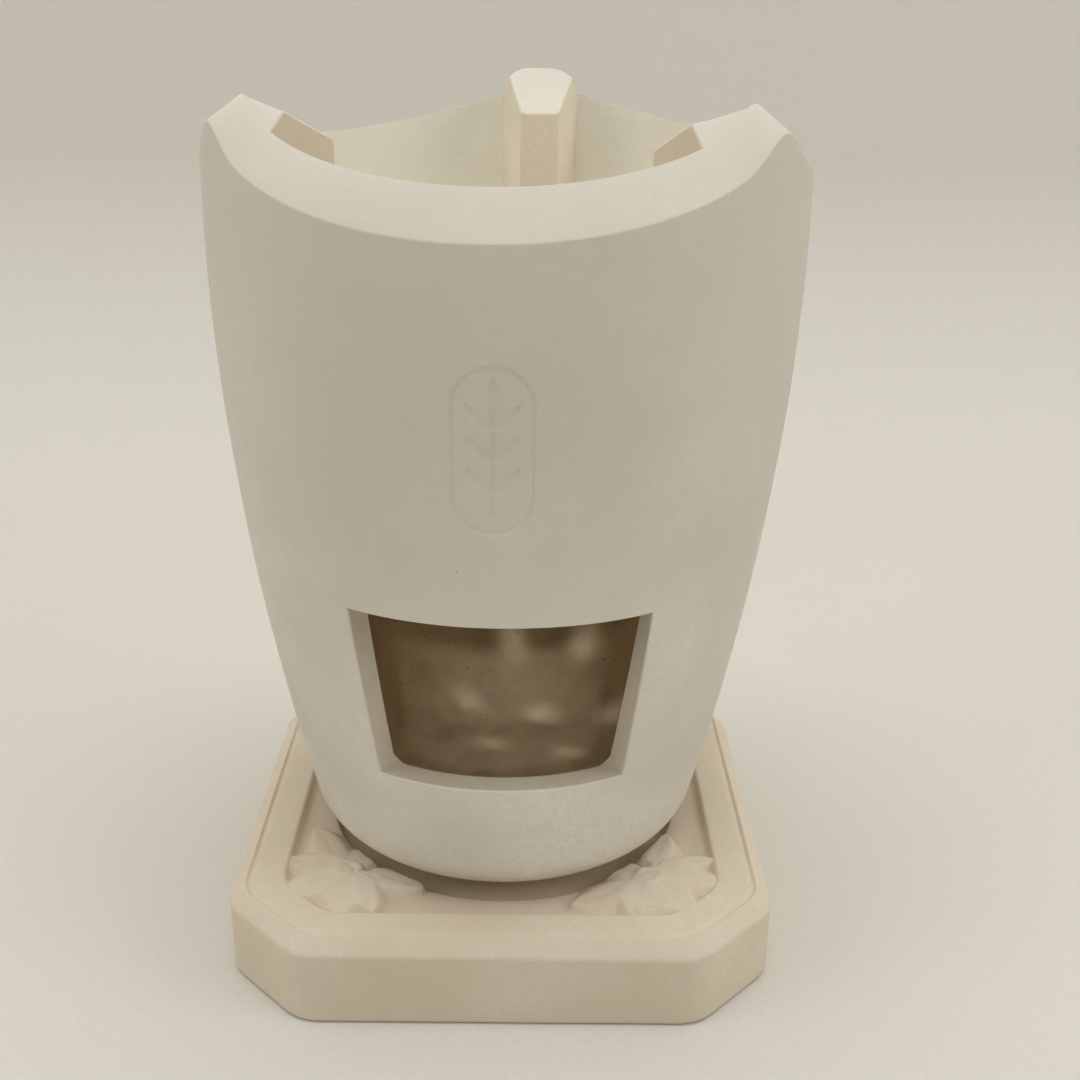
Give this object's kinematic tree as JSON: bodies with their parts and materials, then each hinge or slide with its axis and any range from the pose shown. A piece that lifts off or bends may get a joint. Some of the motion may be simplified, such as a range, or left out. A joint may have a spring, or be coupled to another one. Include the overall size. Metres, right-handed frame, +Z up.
{
  "type": "charcoal tea stove",
  "caption": "Unglazed clay charcoal tea stove with a scalloped rim, inward pot rests, a draught window, a lift-out grate and a square tray.",
  "frame": {"origin": "on the table under the middle of the tray, which is also the stove's axis", "axes": "+Z up along the stove's axis; the draught window faces -Y; +X is to the right of someone facing the window"},
  "size_m": [0.1562, 0.1562, 0.2345],
  "materials": {
    "tray_clay": "matte unglazed clay, warm cream",
    "stove_clay": "matte unglazed clay, pale grey cream",
    "bowl_clay": "coarser matte unglazed clay"
  },
  "bodies": {
    "tray_base": {"tray_floor": "tray_clay", "tray_border": "tray_clay"},
    "stove": {"stove_body": "stove_clay", "pot_rest_back": "stove_clay", "pot_rest_left": "stove_clay", "pot_rest_right": "stove_clay", "fire_bowl": "bowl_clay"},
    "loose_grate": {"grate": "bowl_clay"}
  },
  "joints": [
    {"name": "stove_lift", "type": "slide", "parent": "tray_base", "child": "stove", "axis": [0, 0, 1], "range_m": [0, 0.06]},
    {"name": "grate_lift", "type": "slide", "parent": "stove", "child": "loose_grate", "axis": [0, 0, 1], "range_m": [0, 0.13]}
  ]
}
